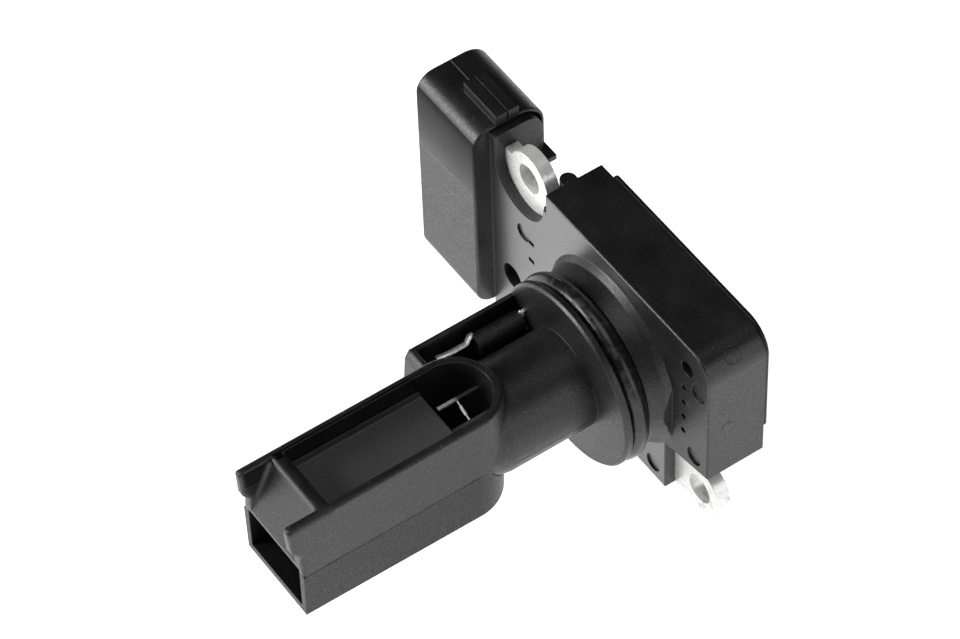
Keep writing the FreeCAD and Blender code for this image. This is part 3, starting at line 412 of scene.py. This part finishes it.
def swept(name, path, material, wide, thick, sides, wander, step):
    """A ribbon or wire swept along a path by a node tree, which shakes it by wander at every step.

    Four sides make a ribbon that lies flat, wide across and thick through. More make a round wire.
    """
    mesh = bpy.data.meshes.new(name)
    mesh.from_pydata(path, [(i, i + 1) for i in range(len(path) - 1)], [])
    strand = bpy.data.objects.new(name, mesh)
    bpy.context.scene.collection.objects.link(strand)

    tree = bpy.data.node_groups.new(name + "_sweep", "GeometryNodeTree")
    tree.interface.new_socket("Geometry", in_out="INPUT", socket_type="NodeSocketGeometry")
    sizes = {}
    for label, value in (("Width", wide), ("Thickness", thick), ("Wander", wander), ("Step", step)):
        socket = tree.interface.new_socket(label, in_out="INPUT", socket_type="NodeSocketFloat")
        sizes[socket.identifier] = value
    tree.interface.new_socket("Geometry", in_out="OUTPUT", socket_type="NodeSocketGeometry")
    start = Wire(tree)
    given = {socket.name: Wire(tree, socket) for socket in tree.nodes.new("NodeGroupInput").outputs}

    line = start.make("GeometryNodeMeshToCurve", {}, {0: given["Geometry"]})
    fine = start.make("GeometryNodeResampleCurve", {"mode": "LENGTH"},
                      {"Curve": line, "Length": given["Step"]})
    spot = start.make("GeometryNodeInputPosition", {}, {})
    seed = 7.0
    shake = start.make("ShaderNodeTexNoise", {"noise_dimensions": "4D"},
                       {"Vector": spot, "W": seed, "Scale": 1900.0, "Detail": 2.0}, "Color")
    level = start.make("ShaderNodeVectorMath", {"operation": "SUBTRACT"},
                       {0: shake, 1: (0.5, 0.5, 0.5)})
    moved = start.make("ShaderNodeVectorMath", {"operation": "SCALE"},
                       {0: level, "Scale": given["Wander"]})
    bent = start.make("GeometryNodeSetPosition", {}, {"Geometry": fine, "Offset": moved})
    laid = start.make("GeometryNodeSetCurveNormal", {"mode": "Z_UP"}, {"Curve": bent})
    if sides == 4:
        section = start.make("GeometryNodeCurvePrimitiveQuadrilateral", {},
                             {"Width": given["Width"], "Height": given["Thickness"]})
    else:
        section = start.make("GeometryNodeCurvePrimitiveCircle", {},
                             {"Resolution": sides, "Radius": given["Width"] * 0.5})
    body = start.make("GeometryNodeCurveToMesh", {},
                      {"Curve": laid, "Profile Curve": section, "Fill Caps": True})
    real = start.make("GeometryNodeRealizeInstances", {}, {0: body})
    clad = start.make("GeometryNodeSetMaterial", {}, {"Geometry": real, "Material": material})
    tree.links.new(clad.socket, tree.nodes.new("NodeGroupOutput").inputs[0])

    sweep = strand.modifiers.new("sweep", "NODES")
    sweep.node_group = tree
    for identifier, value in sizes.items():
        sweep[identifier] = value
    seen = bpy.context.evaluated_depsgraph_get()
    solid = bpy.data.meshes.new_from_object(strand.evaluated_get(seen))
    strand.modifiers.clear()
    strand.data = solid
    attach(strand, "root")
    return strand


lead_tin = plated_metal("lead_tin", tone=0.95, rough=0.3, scuff=0.6, edge=0.00004, dull=0.4)
sleeve_low, sleeve_high = corners_of("temperature_sleeve")
tab_low, tab_high = corners_of("temperature_strip_far")
sleeve_x = (sleeve_low.x + sleeve_high.x) / 2
sleeve_top = sleeve_high.z

far_lead = swept(
    "temperature_lead_crank",
    [(tab_low.x + 0.0003, tab_low.y + 0.0001, tab_high.z - 0.0001),
     (sleeve_x - 0.0002, sleeve_low.y - 0.0042, sleeve_top - 0.0007),
     (sleeve_x - 0.0002, sleeve_low.y - 0.0012, sleeve_top - 0.0007),
     (sleeve_x - 0.0007, sleeve_low.y - 0.0002, sleeve_top - 0.0002),
     (sleeve_x - 0.0007, sleeve_low.y + 0.0003, sleeve_top - 0.0002)],
    lead_tin, wide=0.0008, thick=0.0002, sides=4, wander=0.0002, step=0.00022)
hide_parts("temperature_lead_far")

near_lead = swept(
    "temperature_lead_solder",
    [(sleeve_x - 0.0001, sleeve_high.y - 0.0001, sleeve_top + 0.0001),
     (sleeve_x + 0.0002, sleeve_high.y + 0.0002, sleeve_top + 0.0001),
     (sleeve_x + 0.0004, sleeve_high.y + 0.0003, sleeve_top - 0.0006)],
    lead_tin, wide=0.0006, thick=0.0006, sides=10, wander=0.0004, step=0.00015)
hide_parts("temperature_lead_near")

near_tail = swept(
    "temperature_lead_tail",
    [(sleeve_x + 0.0003, sleeve_high.y + 0.0003, sleeve_top - 0.0012),
     (sleeve_x + 0.0006, sleeve_high.y + 0.0004, sleeve_top - 0.0020),
     (sleeve_x + 0.0011, sleeve_high.y + 0.0004, sleeve_top - 0.0028)],
    lead_tin, wide=0.0002, thick=0.0002, sides=6, wander=0.0003, step=0.0002)


# --- Weld line ----------------------------------------------------------------------------------
# The passage cover is melted on along its seam. A thin uneven bead of the nylon is squeezed out
# there, up one side of the passage, round its end under the neck, and back along the other side.
cover_low, cover_high = corners_of("passage_cover")
seam_half = cover_high.x
seam_centre = cover_high.y - seam_half
seam_start = cover_low.y + 0.0006
turn_steps = 24
turn = [math.pi * i / turn_steps for i in range(turn_steps + 1)]
seam_path = [(seam_half, seam_start, cover_high.z)]
seam_path += [(seam_half * math.cos(angle), seam_centre + seam_half * math.sin(angle), cover_high.z)
              for angle in turn]
seam_path += [(-seam_half, seam_start, cover_high.z)]
weld_flash = moulded_black("weld_flash", tone=0.06, rough=0.4, edge=0.00005, grain_depth=0.00002,
                           specular=0.6)
weld_bead = swept("weld_bead", seam_path, weld_flash,
                  wide=0.00012, thick=0.00012, sides=6, wander=0.00011, step=0.0003)


# --- Circuit board ------------------------------------------------------------------------------
# A green lacquered board inside the head box. It carries a moulded chip, ceramic capacitors and
# glazed resistors, its solder joints hold the blades' tails, and clear gel is poured over it all.
def lacquered(name, first, second, rough, scale, metal=0.0):
    """A cloudy mix of two colours with the gloss of a lacquer, a glaze or a cast resin."""
    material, start, place = new_finish(name)
    cloud = noise(place, scale, 3.0)
    colour = mixed(start, between(cloud, 0.35, 0.65, 0.0, 1.0), first, second)
    shine = between(cloud, 0.35, 0.65, rough - 0.06, rough + 0.06)
    skin = start.make("ShaderNodeBump", {}, {"Strength": 0.5, "Distance": 0.00001, "Height": cloud})
    return close_finish(material, start, {
        "Base Color": colour, "Roughness": shine, "Metallic": metal, "Normal": skin})


dress("circuit_board", lacquered("board_lacquer", (0.012, 0.09, 0.035, 1), (0.02, 0.14, 0.05, 1),
                                 rough=0.35, scale=900.0))
dress("control_chip", lacquered("chip_resin", (0.012, 0.012, 0.013, 1), (0.03, 0.03, 0.032, 1),
                                rough=0.5, scale=3000.0))
dress("board_capacitors", lacquered("capacitor_ceramic", (0.42, 0.29, 0.17, 1),
                                    (0.5, 0.36, 0.22, 1), rough=0.4, scale=2500.0))
dress("board_resistors", lacquered("resistor_glaze", (0.02, 0.02, 0.025, 1), (0.05, 0.05, 0.06, 1),
                                   rough=0.3, scale=2500.0))
dress("solder_joints", lacquered("solder_tin", (0.6, 0.6, 0.61, 1), (0.75, 0.75, 0.76, 1),
                                 rough=0.25, scale=2200.0, metal=1.0))
dress("potting_gel", lacquered("gel_silicone", (0.45, 0.45, 0.42, 1), (0.55, 0.55, 0.5, 1),
                               rough=0.15, scale=300.0))


# --- Table, light and camera --------------------------------------------------------------------
# A pale lit table, two soft boxes and a weak overhead fill, seen through a long lens as in the
# photo. The table's top lies a hair under the part, so the two never share a plane.
def pale_table():
    low = cad_box[0][2] - 0.00002
    half = 3.0
    mesh = bpy.data.meshes.new("table_top")
    corners = [(-half, -half, low), (half, -half, low), (half, half, low), (-half, half, low)]
    mesh.from_pydata(corners, [], [(0, 1, 2, 3)])
    table = bpy.data.objects.new("table_top", mesh)
    bpy.context.scene.collection.objects.link(table)
    material, start, place = new_finish("table_white")
    white = mixed(start, noise(place, 6.0), (0.9, 0.9, 0.9, 1), (0.94, 0.94, 0.94, 1))
    mesh.materials.append(close_finish(material, start, {
        "Base Color": white, "Roughness": 0.9, "Emission Color": white, "Emission Strength": 1.0}))


pale_table()


def soft_box(name, place, side, watts):
    """A square area light at a place, turned to the part."""
    light = bpy.data.lights.new(name, "AREA")
    light.shape = "RECTANGLE"
    light.size = side
    light.size_y = side
    light.energy = watts
    box = bpy.data.objects.new(name, light)
    box.location = place
    box.rotation_euler = (-Vector(place)).to_track_quat("-Z", "Y").to_euler()
    bpy.context.scene.collection.objects.link(box)


soft_box("soft_box_front", (-0.45, -0.75, 0.32), side=0.5, watts=9.0)
soft_box("soft_box_right", (0.75, 0.2, 0.3), side=0.5, watts=1.5)
soft_box("soft_box_top", (0.1, -0.1, 0.9), side=0.6, watts=2.0)

world = bpy.data.worlds.new("studio")
world.use_nodes = True
world.node_tree.nodes["Background"].inputs["Color"].default_value = (1, 1, 1, 1)
world.node_tree.nodes["Background"].inputs["Strength"].default_value = 0.03
bpy.context.scene.world = world
bpy.context.scene.view_settings.view_transform = "Standard"

camera_data = bpy.data.cameras.new("photo_camera")
camera_data.lens = 171.715
camera_data.sensor_fit = "HORIZONTAL"
camera_data.sensor_width = 36.0
camera_data.clip_start = 0.01
camera_data.clip_end = 20.0
camera = bpy.data.objects.new("photo_camera", camera_data)
camera.matrix_world = Matrix((
    (0.570980, -0.630699, 0.525549, 0.313267),
    (0.820609, 0.457288, -0.342766, -0.225650),
    (-0.024145, 0.626983, 0.778659, 0.486076),
    (0, 0, 0, 1)))
bpy.context.scene.collection.objects.link(camera)
bpy.context.scene.camera = camera
